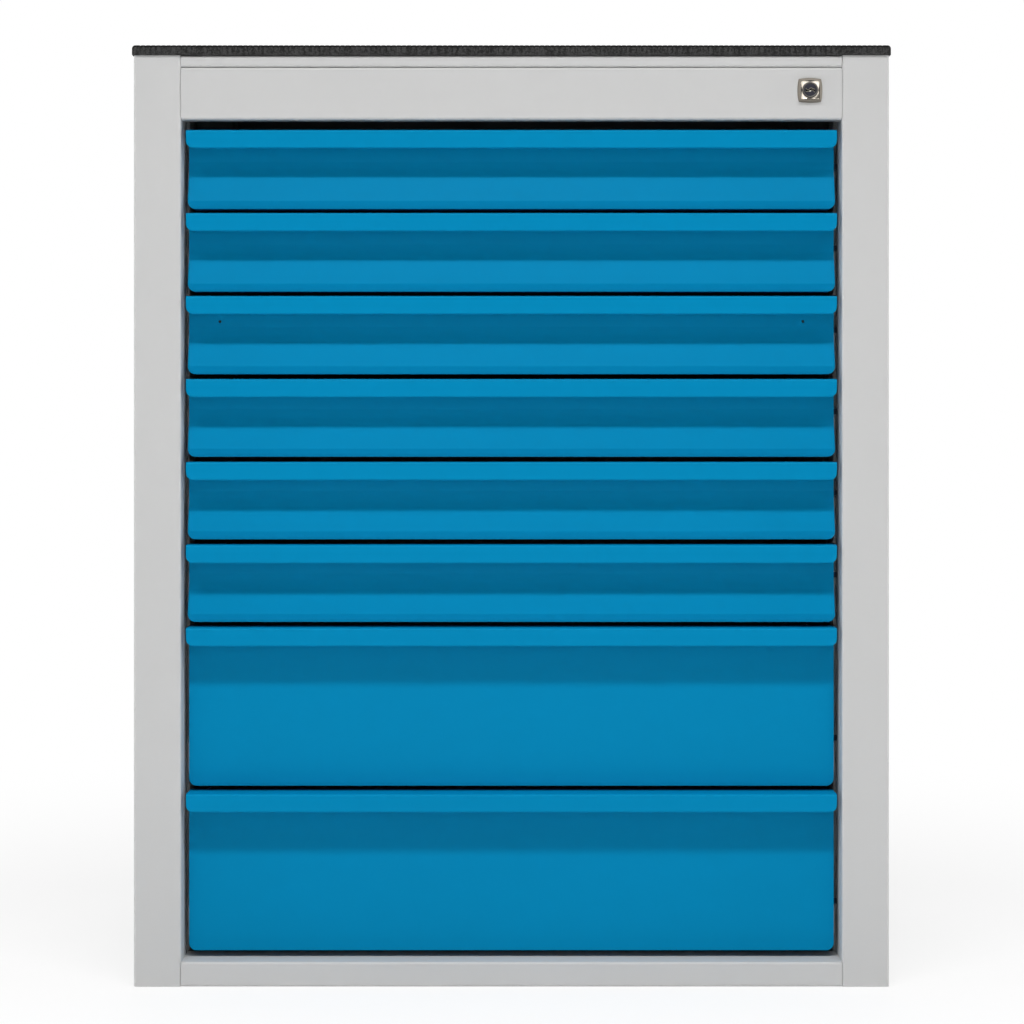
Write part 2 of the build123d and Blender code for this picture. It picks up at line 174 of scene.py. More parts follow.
BAND_BLACK = (0.001, 0.001, 0.001, 1.0)
DUST = (0.19, 0.19, 0.18, 1.0)
WEAR_AND_GLINT_GOLD = (0.40, 0.37, 0.27, 1.0)
KEYWAY_SHADE = (0.002, 0.002, 0.002, 1.0)
WAFER_STEEL = (0.86, 0.82, 0.76, 1.0)
WHITE = (1.0, 1.0, 1.0, 1.0)

# Floor's rings, its fade to white, and the camera's sensor in millimetres

FLOOR_RINGS = np.array([0.0, 0.5, 1.0, 2.0, 4.0, 8.0, 30.0])
FLOOR_DROP = 0.0006
FADE_START = 0.45
FADE_WIDTH = 1.2
SHADOW_SHARE = 0.27
SENSOR_WIDTH = 36.0

# Points nearer than this are one point

MERGE_DISTANCE = 1e-7


# Settings


class CabinetPaint(bpy.types.PropertyGroup):
    """Colours and texture of the powder coat."""

    grey: bpy.props.FloatVectorProperty(
        name="Carcass grey", description="Paint of the carcass and the trays", subtype="COLOR",
        default=(0.565, 0.565, 0.562), min=0.0, max=1.0)
    blue: bpy.props.FloatVectorProperty(
        name="Front blue", description="Paint of the drawer fronts", subtype="COLOR",
        default=(0.0, 0.232, 0.46), min=0.0, max=1.0)
    grey_gloss: bpy.props.FloatProperty(
        name="Grey gloss", description="Strength of the grey paint's reflections", subtype="FACTOR",
        default=0.25, min=0.0, max=1.0)
    blue_gloss: bpy.props.FloatProperty(
        name="Blue gloss", description="Strength of the blue paint's reflections", subtype="FACTOR",
        default=0.035, min=0.0, max=1.0)
    peel_size: bpy.props.FloatProperty(
        name="Orange peel", description="Width of one swell of the paint", unit="LENGTH",
        default=0.0016, min=0.0002, max=0.02)
    peel_height: bpy.props.FloatProperty(
        name="Peel height", description="Height of the swells of the paint", unit="LENGTH",
        default=0.00012, min=0.0, max=0.001)
    roughness: bpy.props.FloatProperty(
        name="Roughness", description="Mean roughness of the satin paint", subtype="FACTOR",
        default=0.48, min=0.0, max=1.0)


class CabinetSteel(bpy.types.PropertyGroup):
    """Colours of the zinc plate."""

    dull: bpy.props.FloatVectorProperty(
        name="Dull zinc", description="Colour of the plate's duller flakes and streaks",
        subtype="COLOR", default=(0.47, 0.48, 0.50), min=0.0, max=1.0)
    bright: bpy.props.FloatVectorProperty(
        name="Bright zinc", description="Colour of the plate's brighter flakes and streaks",
        subtype="COLOR", default=(0.70, 0.71, 0.72), min=0.0, max=1.0)


class CabinetMat(bpy.types.PropertyGroup):
    """Sizes and colour of the ribbed rubber mat."""

    rib_pitch: bpy.props.FloatProperty(
        name="Rib pitch", description="Distance from one rib to the next", unit="LENGTH",
        default=0.0054, min=0.002, max=0.05)
    groove_depth: bpy.props.FloatProperty(
        name="Groove depth", description="Depth of the grooves between the ribs", unit="LENGTH",
        default=0.00045, min=0.0, max=0.003)
    edge_radius: bpy.props.FloatProperty(
        name="Edge radius", description="Rounding of the long upper edges", unit="LENGTH",
        default=0.0009, min=0.0005, max=0.004)
    foot_radius: bpy.props.FloatProperty(
        name="Foot radius", description="Rounding of the long lower edges", unit="LENGTH",
        default=0.0006, min=0.0001, max=0.002)
    end_radius: bpy.props.FloatProperty(
        name="End radius", description="Rounding of the two ends", unit="LENGTH",
        default=0.0042, min=0.0005, max=0.008)
    black: bpy.props.FloatVectorProperty(
        name="Rubber black", description="Colour of the rubber", subtype="COLOR",
        default=(0.028, 0.028, 0.028), min=0.0, max=1.0)
    layer: bpy.props.FloatProperty(
        name="Top layer", description="Thickness of the blacker layer that carries the ribs",
        unit="LENGTH", default=0.0022, min=0.0, max=0.005)


class CabinetLock(bpy.types.PropertyGroup):
    """Sizes and colours of the lock's escutcheon and plug face."""

    crest: bpy.props.FloatProperty(
        name="Crest", description="Height of the ridge round the plug above the header", unit="LENGTH",
        default=0.004, min=0.001, max=0.008)
    dish: bpy.props.FloatProperty(
        name="Dish", description="Height of the plate beside the plug above the header", unit="LENGTH",
        default=0.0029, min=0.001, max=0.008)
    plate_half: bpy.props.FloatProperty(
        name="Plate half width", description="Half the width of the dished plate inside the ridge",
        unit="LENGTH", default=0.0100, min=0.0085, max=0.012)
    corner_half: bpy.props.FloatProperty(
        name="Corner half width", description="Half the distance between two corners of the escutcheon",
        unit="LENGTH", default=0.0119, min=0.009, max=0.013)
    keyway_half: bpy.props.FloatProperty(
        name="Keyway half length", description="Half the length of the key's slot", unit="LENGTH",
        default=0.0049, min=0.001, max=0.007)
    keyway_half_width: bpy.props.FloatProperty(
        name="Keyway half width", description="Half the mean width of the key's slot", unit="LENGTH",
        default=0.00095, min=0.0004, max=0.003)
    keyway_depth: bpy.props.FloatProperty(
        name="Keyway depth", description="Depth of the key's slot", unit="LENGTH",
        default=0.0024, min=0.0, max=0.005)
    nickel: bpy.props.FloatVectorProperty(
        name="Nickel", description="Colour of the plated escutcheon", subtype="COLOR",
        default=(0.34, 0.31, 0.265), min=0.0, max=1.0)
    gunmetal: bpy.props.FloatVectorProperty(
        name="Gunmetal", description="Colour of the plug", subtype="COLOR",
        default=(0.030, 0.030, 0.038), min=0.0, max=1.0)


class CabinetRivets(bpy.types.PropertyGroup):
    """Sizes and number of the blind rivets."""

    radius: bpy.props.FloatProperty(
        name="Head radius", description="Radius of a rivet's head", unit="LENGTH",
        default=0.0036, min=0.001, max=0.01)
    height: bpy.props.FloatProperty(
        name="Head height", description="Height of a rivet's head", unit="LENGTH",
        default=0.0011, min=0.0003, max=0.004)
    end_margin: bpy.props.FloatProperty(
        name="End margin", description="From a flange's ends to its first and last rivet",
        unit="LENGTH", default=0.04, min=0.01, max=0.2)
    per_flange: bpy.props.IntProperty(
        name="Rivets per flange", description="Rivets along each rear flange", default=9, min=2, max=40)


class CabinetStudio(bpy.types.PropertyGroup):
    """Camera, lamps and floor."""

    distance: bpy.props.FloatProperty(
        name="Camera distance", description="From the camera to the cabinet's front", unit="LENGTH",
        default=2.6, min=0.5, max=20.0)
    aside: bpy.props.FloatProperty(
        name="Camera aside", description="From the cabinet's middle to the camera, to the right",
        unit="LENGTH", default=0.0006, min=-1.0, max=1.0)
    eye_height: bpy.props.FloatProperty(
        name="Eye height", description="Height of the camera above the floor", unit="LENGTH",
        default=0.585, min=0.0, max=3.0)
    frame_width: bpy.props.FloatProperty(
        name="Frame width", description="Width of the picture at the cabinet's front", unit="LENGTH",
        default=1.0842, min=0.2, max=10.0)
    frame_middle: bpy.props.FloatProperty(
        name="Frame middle", description="Height at the middle of the picture", unit="LENGTH",
        default=0.5026, min=0.0, max=3.0)
    key_power: bpy.props.FloatProperty(
        name="Key power", description="Power of the strip lamp above and in front", unit="POWER",
        default=108.0, min=0.0, max=2000.0)
    front_power: bpy.props.FloatProperty(
        name="Front power", description="Power of the soft lamp behind the camera", unit="POWER",
        default=13.0, min=0.0, max=2000.0)
    side_power: bpy.props.FloatProperty(
        name="Side power", description="Power of each soft lamp beside the cabinet", unit="POWER",
        default=52.0, min=0.0, max=2000.0)
    rear_power: bpy.props.FloatProperty(
        name="Rear power", description="Power of the soft lamp behind the cabinet", unit="POWER",
        default=78.0, min=0.0, max=2000.0)
    ambience: bpy.props.FloatProperty(
        name="Ambience", description="Strength of the even light from all round",
        default=0.10, min=0.0, max=2.0)
    floor: bpy.props.FloatVectorProperty(
        name="Floor", description="Colour of the floor", subtype="COLOR",
        default=(0.94, 0.94, 0.94), min=0.0, max=1.0)


# Shader writing


class Wire:
    """A socket of a node tree. Arithmetic on it adds Math nodes to the same tree."""

    def __init__(self, tree, socket):
        self.tree = tree
        self.socket = socket

    def maths(self, operation, first, second):
        return self.tree.node("ShaderNodeMath", {"operation": operation}, {0: first, 1: second}).out(0)

    def __add__(self, other):
        return self.maths("ADD", self, other)

    def __radd__(self, other):
        return self.maths("ADD", other, self)

    def __sub__(self, other):
        return self.maths("SUBTRACT", self, other)

    def __rsub__(self, other):
        return self.maths("SUBTRACT", other, self)

    def __mul__(self, other):
        return self.maths("MULTIPLY", self, other)

    def __rmul__(self, other):
        return self.maths("MULTIPLY", other, self)

    def __truediv__(self, other):
        return self.maths("DIVIDE", self, other)

    def __pow__(self, other):
        return self.maths("POWER", self, other)

    def at_most(self, other):
        return self.maths("MINIMUM", self, other)

    def at_least(self, other):
        return self.maths("MAXIMUM", self, other)

    def size(self):
        return self.maths("ABSOLUTE", self, 0.0)

    def clamped(self):
        """Held between 0 and 1."""
        return self.at_least(0.0).at_most(1.0)

    def swing(self, share):
        """A value from 0 to 1 as a swing about nothing, a share wide."""
        return share * (self - 0.5)


class Placed:
    """A node that has been added, whose outputs are taken by name or number."""

    def __init__(self, tree, node):
        self.tree = tree
        self.node = node

    def out(self, key):
        return Wire(self.tree, self.node.outputs[key])


class Tree:
    """A node tree under construction."""

    def __init__(self, owner):
        owner.use_nodes = True
        self.nodes = owner.node_tree.nodes
        self.links = owner.node_tree.links
        self.nodes.clear()

    def node(self, kind, settings=None, sockets=None):
        """Adds a node of a kind, makes its settings, then fills its sockets with values or links."""
        node = self.nodes.new(kind)
        for name, value in (settings or {}).items():
            setattr(node, name, value)
        for key, value in (sockets or {}).items():
            if isinstance(value, Wire):
                self.links.new(value.socket, node.inputs[key])
            else:
                node.inputs[key].default_value = value
        return Placed(self, node)

    def place(self):
        """Coordinates in metres, in the cabinet's own frame."""
        return self.node("ShaderNodeTexCoord").out("Object")

    def noise(self, per_metre, detail, vector=None):
        """Soft noise from 0 to 1, with a number of swells per metre."""
        sockets = {"Vector": vector or self.place(), "Scale": per_metre, "Detail": detail}
        return self.node("ShaderNodeTexNoise", None, sockets).out(0)

    def streaks(self, per_metre, detail):
        """Soft noise from 0 to 1, with its own number of swells per metre along each axis."""
        sockets = {"Vector": self.place(), "Scale": per_metre}
        return self.noise(1.0, detail, self.node("ShaderNodeMapping", None, sockets).out(0))

    def tint(self, factor, first, second):
        """A colour between two others."""
        sockets = {0: factor, 6: first, 7: second}
        return self.node("ShaderNodeMix", {"data_type": "RGBA", "clamp_factor": True}, sockets).out(2)

    def attribute(self, name):
        """A mark of the piece's own points."""
        return self.node("ShaderNodeAttribute", {"attribute_name": name}).out("Fac")

    def bump(self, height, distance, strength):
        """A normal tilted by a height from 0 to 1, which stands for a distance."""
        sockets = {"Height": height, "Distance": distance, "Strength": strength}
        return self.node("ShaderNodeBump", None, sockets).out(0)

    def seen(self):
        """1 for a ray that shows the background, also in metal or glass, and 0 for one that lights."""
        ray = self.node("ShaderNodeLightPath")
        shown = ray.out("Is Camera Ray") + ray.out("Is Glossy Ray") + ray.out("Is Transmission Ray")
        return shown.at_most(1.0)

    def surface(self, sockets):
        """The finished material, from the sockets of its shader."""
        shader = self.node("ShaderNodeBsdfPrincipled", None, sockets).out(0)
        self.node("ShaderNodeOutputMaterial", None, {"Surface": shader})


def shade(colour, share=1.0):
    """A plain colour times a share, with full alpha."""
    return (*[min(1.0, channel * share) for channel in colour], 1.0)


def powder_coat(name, colour, gloss, paint):
    """Satin powder coat: orange-peel swells, a fine grain, and slow drifts of shade and roughness."""
    material = bpy.data.materials.new(name)
    tree = Tree(material)
    grains_per_swell = 4.5
    peel = tree.noise(1.0 / paint.peel_size, detail=2.0)
    grain = tree.noise(grains_per_swell / paint.peel_size, detail=1.0)
    drift = tree.noise(3.1, detail=3.0)
    mottle = 0.5 + drift.swing(0.9) + grain.swing(0.5)
    swells = 0.75 * peel + 0.25 * grain
    tree.surface({
        "Base Color": tree.tint(mottle, shade(colour, 0.965), shade(colour, 1.035)),
        "Roughness": paint.roughness + drift.swing(0.16) + peel.swing(0.08),
        "Specular IOR Level": gloss,
        "Normal": tree.bump(swells, distance=paint.peel_height, strength=0.16),
    })
    return material


def zinc_plate(steel):
    """Zinc-plated steel: faint spangle, rolling streaks along the runners and duller patches."""
    material = bpy.data.materials.new("zinc_plate")
    tree = Tree(material)
    flakes = tree.node("ShaderNodeTexVoronoi", None, {"Vector": tree.place(), "Scale": 190.0})
    spangle = tree.node("ShaderNodeSeparateColor", None, {0: flakes.out("Color")}).out(0)
    streak = tree.streaks((900.0, 14.0, 900.0), detail=3.0)
    patch = tree.noise(11.0, detail=3.0)
    mix = 0.25 * spangle + 0.45 * streak + 0.30 * patch
    tree.surface({
        "Base Color": tree.tint(mix, shade(steel.dull), shade(steel.bright)),
        "Metallic": 1.0,
        "Roughness": 0.30 + 0.14 * patch + 0.10 * streak,
        "Normal": tree.bump(streak, distance=0.00005, strength=0.2),
    })
    return material


def ribbed_rubber(mat):
    """Dull rubber with fine pores, cutting streaks and some dust, and a blacker band round its top."""
    material = bpy.data.materials.new("ribbed_rubber")
    tree = Tree(material)
    streaks_per_rib = 1.6
    pores = tree.noise(640.0, detail=3.0)
    streak = tree.streaks((streaks_per_rib / mat.rib_pitch, 12.0, 30.0), detail=2.0)
    bloom = tree.noise(7.0, detail=4.0)
    tone = 0.5 + 6.0 * (0.7 * pores + 0.3 * streak - 0.5)
    groove = tree.attribute("groove")
    place = tree.node("ShaderNodeSeparateXYZ", None, {0: tree.place()})
    above = place.out("Z") - (MAT_HIGH.z - mat.layer)
    beyond = place.out("X").size() - (MAT_HIGH.x - mat.layer)
    below = MAT_HIGH.z - BAND_TOP * mat.groove_depth - place.out("Z")
    band = (above.at_least(beyond) / BAND_BLUR).clamped() * (below / CROWN_BLUR).clamped()
    base = tree.tint(tone, shade(mat.black, 0.40), shade(mat.black, 1.90))
    dusty = tree.tint(0.05 * bloom, base, DUST)
    layered = tree.tint(0.92 * band, dusty, BAND_BLACK)
    tree.surface({
        # Painted shade: the grooves are darkened towards a tenth of the rubber's black.
        "Base Color": tree.tint(0.85 * groove, layered, shade(mat.black, 0.10)),
        "Roughness": 0.66 + bloom.swing(0.22) + pores.swing(0.12),
        "Specular IOR Level": 0.10,
        "Normal": tree.bump(pores, distance=0.00008, strength=0.3),
    })
    return material


def bright_nickel(colour):
    """Warm nickel: polished plate, satin border, hairlines, painted shade and painted reflections."""
    material = bpy.data.materials.new("bright_nickel")
    tree = Tree(material)
    hairline = tree.streaks((5200.0, 900.0, 700.0), detail=2.0)
    film = tree.noise(420.0, detail=3.0)
    painted_shade_and_reflection = tree.attribute("painted_shade_and_reflection")
    plate = tree.attribute("plate")
    # Painted reflection: one nickel is darkened on the border and lightened on the plate, for the dim and
    # bright reflections they show.
    border = tree.tint(0.3 + 0.4 * film, shade(colour, 0.60), shade(colour, 0.95))
    polished = tree.tint(plate, border, shade(colour, 2.6))
    tree.surface({
        # Painted shade and painted dark reflection: the nickel darkens to a sixth of its colour under
        # that mark.
        "Base Color": tree.tint(painted_shade_and_reflection, polished, shade(colour, 0.16)),
        "Metallic": 1.0,
        "Roughness": 0.62 - 0.45 * plate + 0.10 * film + 0.08 * hairline,
        "Normal": tree.bump(hairline, distance=0.00002, strength=0.15),
    })
    return material


def dark_gunmetal(colour):
    """Dark satin metal: cloudy film, worn rim, painted glints and shade at the keyway, a bright wafer in
    it.
    """
    material = bpy.data.materials.new("dark_gunmetal")
    tree = Tree(material)
    film = tree.noise(900.0, detail=3.0)
    keyway = tree.attribute("keyway")
    wafer = tree.attribute("wafer")
    wear_and_glint = tree.attribute("wear_and_glint")
    face = tree.tint(0.3 + 0.5 * film, shade(colour, 0.8), shade(colour, 1.3))
    # Wear on the rim, and painted glints along the keyway's edges, in a rubbed gold.
    wear_and_glint_face = tree.tint(0.8 * wear_and_glint, face, WEAR_AND_GLINT_GOLD)
    # Painted shade: the keyway is tinted near black, for the shade down in the slot.
    slotted = tree.tint(keyway, wear_and_glint_face, KEYWAY_SHADE)
    tree.surface({
        "Base Color": tree.tint(wafer, slotted, WAFER_STEEL),
        "Metallic": 1.0,
        "Roughness": 0.34 + 0.14 * film + 0.2 * keyway,
    })
    return material


def dress(slot, material):
    """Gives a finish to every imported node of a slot."""
    for name in NODES_OF_SLOT[slot]:
        mesh = frame["nodes"][name].data
        mesh.materials.clear()
        mesh.materials.append(material)


# Surfaces


def ramp(value, start, width):
    """0 up to a start, then straight up to 1 over a width, and 1 from there on."""
    return np.clip((value - start) / width, 0.0, 1.0)


def peak(value, centre, width, power=2):
    """1 at a centre, falling away on both sides: e to the minus (distance over width) to a power."""
    return np.exp(-np.abs((value - centre) / width) ** power)


def one_turn(count):
    """Angles of one turn, as a row of a grid."""
    return np.linspace(0.0, 2 * math.pi, count, endpoint=False)[None, :]


def quads_of(count_u, count_v, wrap_u, wrap_v, start):
    """Corner numbers of a grid's cells: each joins a point to its next in u, in both, and in v."""
    index = np.arange(count_u * count_v).reshape(count_u, count_v) + start
    if wrap_u:
        index = np.concatenate([index, index[:1]], axis=0)
    if wrap_v:
        index = np.concatenate([index, index[:, :1]], axis=1)
    cells = np.stack([index[:-1, :-1], index[1:, :-1], index[1:, 1:], index[:-1, 1:]], axis=-1)
    return cells.reshape(-1, 4)


def make_piece(name, patches, finish, body, node=None, marks=None, sharp=40.0):
    """One object from grids of points, merged where they meet and smooth up to an angle in degrees.

    Each patch is (points[u, v, 3], wraps in u, wraps in v). Marks are named numbers for each point.
    """
    corners, cells, start = [], [], 0
    for points, wrap_u, wrap_v in patches:
        count_u, count_v = points.shape[:2]
        corners.append(points.reshape(-1, 3))
        cells.append(quads_of(count_u, count_v, wrap_u, wrap_v, start))
        start += count_u * count_v
    corners = np.concatenate(corners).astype(np.float32)
    cells = np.concatenate(cells).astype(np.int32)
    mesh = bpy.data.meshes.new(name)
    mesh.vertices.add(len(corners))
    mesh.vertices.foreach_set("co", corners.ravel())
    mesh.loops.add(cells.size)
    mesh.loops.foreach_set("vertex_index", cells.ravel())
    mesh.polygons.add(len(cells))
    mesh.polygons.foreach_set("loop_start", np.arange(0, cells.size, 4, dtype=np.int32))
    mesh.update(calc_edges=True)
    for mark, numbers in (marks or {}).items():
        layer = mesh.attributes.new(mark, "FLOAT", "POINT")
        layer.data.foreach_set("value", np.asarray(numbers, np.float32).ravel())
    bm = bmesh.new()
    bm.from_mesh(mesh)
    bmesh.ops.remove_doubles(bm, verts=bm.verts, dist=MERGE_DISTANCE)
    bmesh.ops.dissolve_degenerate(bm, edges=bm.edges, dist=MERGE_DISTANCE)
    bmesh.ops.recalc_face_normals(bm, faces=bm.faces)
    bm.to_mesh(mesh)
    bm.free()
    mesh.shade_smooth()
    mesh.set_sharp_from_angle(angle=math.radians(sharp))
    mesh.materials.append(finish)
    piece = bpy.data.objects.new(name, mesh)
    bpy.context.scene.collection.objects.link(piece)
    if body:
        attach(piece, body)
    if node:
        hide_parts(node)
    return piece


def arc(centre_y, centre_z, radius, first, last, count):
    """Points of a circle's arc in the YZ plane with their outward normals, angles in degrees."""
    angle = np.radians(np.linspace(first, last, count))
    normal = np.stack([np.cos(angle), np.sin(angle)], axis=-1)
    return np.array([centre_y, centre_z]) + radius * normal, normal


def mat_section(edge, foot):
    """The mat's outline in YZ and its normals: four corner arcs in a row, joined by straight runs."""
    low_y, high_y, low_z, high_z = MAT_LOW.y, MAT_HIGH.y, MAT_LOW.z, MAT_HIGH.z
    runs = [
        arc(low_y + foot, low_z + foot, foot, 270.0, 180.0, 4),
        arc(low_y + edge, high_z - edge, edge, 180.0, 90.0, 9),
        arc(high_y - edge, high_z - edge, edge, 90.0, 0.0, 9),
        arc(high_y - foot, low_z + foot, foot, 0.0, -90.0, 4),
    ]
    return np.concatenate([run[0] for run in runs]), np.concatenate([run[1] for run in runs])


def mat_surface(mat):
    """The mat: its section carried along X, with grooves sunk along the section's normal.

    Groove depth over one pitch is a narrow V, 1 at the rib's border and 0 over its crown, and it fades
    out down the sides. The ends start without a groove. From there the section shrinks by the end
    radius less the height of a quarter circle, and closes to a point.
    """
    section, normal = mat_section(mat.edge_radius, mat.foot_radius)
    half = MAT_HIGH.x - mat.end_radius
    ribs = int(round(2 * half / mat.rib_pitch))
    pitch = 2 * half / ribs
    inner = (-half + pitch * (np.arange(ribs)[:, None] + RIB_PLACES)).ravel()
    groove = np.tile(RIB_DEPTHS, ribs)
    groove[:np.searchsorted(RIB_PLACES, RIB_MIDDLE)] = 0.0
    swing = np.linspace(0.0, math.pi / 2, 8)
    tail = half + mat.end_radius * np.sin(swing)
    smooth = np.zeros_like(tail)
    x = np.concatenate([-tail[::-1], inner[1:], tail])
    groove = np.concatenate([smooth, groove[1:], smooth])
    beyond = np.clip(np.abs(x) - half, 0.0, mat.end_radius)
    inset = (mat.end_radius - np.sqrt(mat.end_radius ** 2 - beyond ** 2))[:, None]
    height = MAT_HIGH.z - MAT_LOW.z
    lift = ramp(section[:, 1] - MAT_LOW.z, GROOVE_FOOT * height, GROOVE_FADE * height)
    cut = groove[:, None] * lift[None, :]
    y = section[None, :, 0] - mat.groove_depth * cut * normal[None, :, 0]
    z = section[None, :, 1] - mat.groove_depth * cut * normal[None, :, 1]
    middle_y = (MAT_LOW.y + MAT_HIGH.y) / 2
    half_depth = (MAT_HIGH.y - MAT_LOW.y) / 2
    y = middle_y + (y - middle_y) * (1.0 - inset / half_depth)
    z = MAT_LOW.z + END_RISE * inset + (z - MAT_LOW.z) * (1.0 - END_LOSS * inset / height)
    points = np.stack([np.broadcast_to(x[:, None], y.shape), y, z], axis=-1)
    poles = np.broadcast_to(points.mean(axis=1, keepdims=True)[[0, -1]], (2,) + points.shape[1:])
    points = np.concatenate([poles[:1], points, poles[1:]])
    uncut = np.zeros_like(cut[:1])
    return points, np.concatenate([uncut, cut, uncut])


def rounded_square(half, power, angle):
    """Radius of a rounded square at an angle: half its width over the power mean of cosine and sine."""
    return half / (np.abs(np.cos(angle)) ** power + np.abs(np.sin(angle)) ** power) ** (1.0 / power)


def pillow(half, corner, angle):
    """Radius of a square with bulging sides at an angle, its corners eased a little.

    Each side is an arc through its middle, at half, and through two corners. The ray at an angle meets
    that arc at the root of a quadratic, and a power mean with the corner's own reach eases the corner.
    """
    turn = (angle + math.pi / 4) % (math.pi / 2) - math.pi / 4
    bulge = half - corner
    swing = (corner ** 2 + bulge ** 2) / (2 * bulge)
    back = swing - half
    reach = np.sqrt(swing ** 2 - (back * np.sin(turn)) ** 2) - back * np.cos(turn)
    corner_reach = corner * math.sqrt(2.0)
    return (reach ** -CORNER_POWER + corner_reach ** -CORNER_POWER) ** (-1.0 / CORNER_POWER)


def round_the_lock(radius, forward, angle):
    """Points at a radius round the lock's axis, a height in front of the header."""
    return np.stack(
        [LOCK_X + radius * np.cos(angle), FRONT_Y - forward, LOCK_Z + radius * np.sin(angle)], axis=-1)


def escutcheon_surface(lock):
    """The lock's housing as one ring-shaped grid round the plug, and its marks.

    From the plug's hole the plate dishes up with the cube of the way out to a rounded-square ridge.
    From there the border falls as a quarter superellipse to the outline, and the grid goes on round the
    back of the plate, down the barrel and up its bore to the plug's seat. The first mark is painted shade
    in the creases and along the outline, and painted dark reflection at the middle of each side and over
    the lower right corner, and the mark plate is 1 inside the ridge.
    """
    angle = one_turn(144)
    flat = np.ones_like(angle)
    hole = HEAD_RADIUS + PLUG_PLAY
    bore = BODY_RADIUS + PLUG_PLAY
    ridge = rounded_square(lock.plate_half, RIDGE_POWER, angle)
    outline = pillow(HOUSING_HALF, lock.corner_half, angle)
    inward = np.linspace(0.0, 1.0, 9)[:, None]
    outward = np.linspace(0.0, 1.0, 15)[1:, None]
    plate_r = hole + (ridge - hole) * inward
    plate_h = lock.dish + (lock.crest - lock.dish) * inward ** 3
    border_r = ridge + (outline - ridge) * np.sin(outward * math.pi / 2)
    border_h = lock.crest * np.abs(np.cos(outward * math.pi / 2)) ** BORDER_POWER
    tube_r = np.array([BARREL_RADIUS, BARREL_RADIUS, bore, bore, hole])[:, None]
    tube_h = np.array([0.0, -BARREL_LENGTH, -BARREL_LENGTH, -HEAD_SEAT, -HEAD_SEAT])[:, None]
    radius = np.concatenate([plate_r, border_r, tube_r * flat])
    forward = np.concatenate([plate_h, border_h, tube_h]) * flat
    # Painted shade in the creases and along the outline; painted dark reflection at mid-sides and the
    # lower right corner.
    dark_reflection = PAINTED_DARK_REFLECTION * peak(angle, DARK_REFLECTION_ANGLE, DARK_REFLECTION_SPREAD, 4) * ramp(inward, 0.0, 1 / 3)
    creases = RIDGE_SHADE * peak(inward, 1.0, RIDGE_SPREAD) + HOLE_SHADE * peak(inward, 0.0, HOLE_SPREAD)
    sides = SIDE_DARK_REFLECTION * np.cos(2 * angle) ** 6
    edge = OUTLINE_SHADE * peak(outward, 1.0, OUTLINE_SPREAD)
    bare = 0.0 * tube_r * flat
    painted_shade_and_reflection = np.concatenate([np.maximum(np.maximum(creases, sides), dark_reflection), edge * flat, bare])
    plate = np.concatenate([(inward < 1.0) * flat, 0.0 * border_r, bare])
    return round_the_lock(radius, forward, angle), {"painted_shade_and_reflection": painted_shade_and_reflection, "plate": plate}


def plug_surface(lock):
    """The plug: a disc round its axis with a rim, a turned groove, and a wavy keyway pressed into it.

    The keyway's middle line is a sine across the face and its half width a mean plus a cosine. Its
    depth goes from 0 to 1 over the walls, eased as 3 t squared less 2 t cubed, and a wafer fills most
    of it at one place. Behind the face follow the head's side, the body and the tail, closed to a point
    at each end. The marks are the open keyway, the wafer, the rim's wear and painted glints at the
    keyway.
    """
    angle = one_turn(160)
    flat = np.ones_like(angle)
    inner_shares = np.linspace(0.0, 0.72, 52)
    outer_shares = [0.75, 0.78, 0.81, 0.85, 0.9, 0.95, 0.98, 1.0]
    share = np.concatenate([inner_shares, outer_shares])[:, None] * flat
    radius = HEAD_RADIUS * share
    x = radius * np.cos(angle)
    z = radius * np.sin(angle)
    rounding = RIM_ROUNDING * ramp(share, ROUNDING_START, RIM_SLOPE) ** 2
    rim = RIM_HEIGHT * ramp(share, RIM_START, RIM_SLOPE) - rounding
    ring = RING_DEPTH * peak(share, RING_PLACE, RING_SPREAD)
    middle = KEYWAY_SWING * np.sin(2 * math.pi * x / SWING_WAVE + SWING_LEAD)
    half_width = lock.keyway_half_width + KEYWAY_SWELL * np.cos(2 * math.pi * x / SWELL_WAVE)
    outside = np.abs(z - middle) - half_width
    slot = ramp(-outside, 0.0, KEYWAY_WALL) * ramp(lock.keyway_half - np.abs(x), 0.0, KEYWAY_END_WALL)
    slot = slot * slot * (3.0 - 2.0 * slot)
    wafer_place = ((x - WAFER_X) / WAFER_HALF_WIDTH) ** 2 + ((z - WAFER_Z) / WAFER_HALF_HEIGHT) ** 2
    wafer = np.exp(-wafer_place ** 2)
    proud = FRONT_Y - PLUG_LOW.y
    face = proud - FACE_SINK + rim - ring - lock.keyway_depth * slot * (1.0 - WAFER_RISE * wafer)
    shoulder = PLUG_END_PLAY - HEAD_SEAT
    body_end = -BARREL_LENGTH - PLUG_END_PLAY
    tail_end = FRONT_Y - PLUG_HIGH.y
    rows_r = np.array([HEAD_RADIUS, BODY_RADIUS, BODY_RADIUS, TAIL_RADIUS, TAIL_RADIUS, 0.0])[:, None]
    rows_h = np.array([shoulder, shoulder, body_end, body_end, tail_end, tail_end])[:, None]
    rim_wear = RIM_WEAR * peak(share, RIM_WEAR_PLACE, RIM_WEAR_SPREAD)
    # Painted glint: a gold band along each edge of the keyway, in the same mark as the rim's wear.
    edge_glint = peak(outside, EDGE_GLINT_PLACE, EDGE_GLINT_SPREAD) * (np.abs(x) < lock.keyway_half)
    bare = 0.0 * rows_r * flat
    marks = {
        "keyway": np.concatenate([slot * (1.0 - wafer), bare]),
        "wafer": np.concatenate([wafer, bare]),
        "wear_and_glint": np.concatenate([np.maximum(rim_wear, edge_glint), bare]),
    }
    radius = np.concatenate([radius, rows_r * flat])
    forward = np.concatenate([face, rows_h * flat])
    return round_the_lock(radius, forward, angle), marks


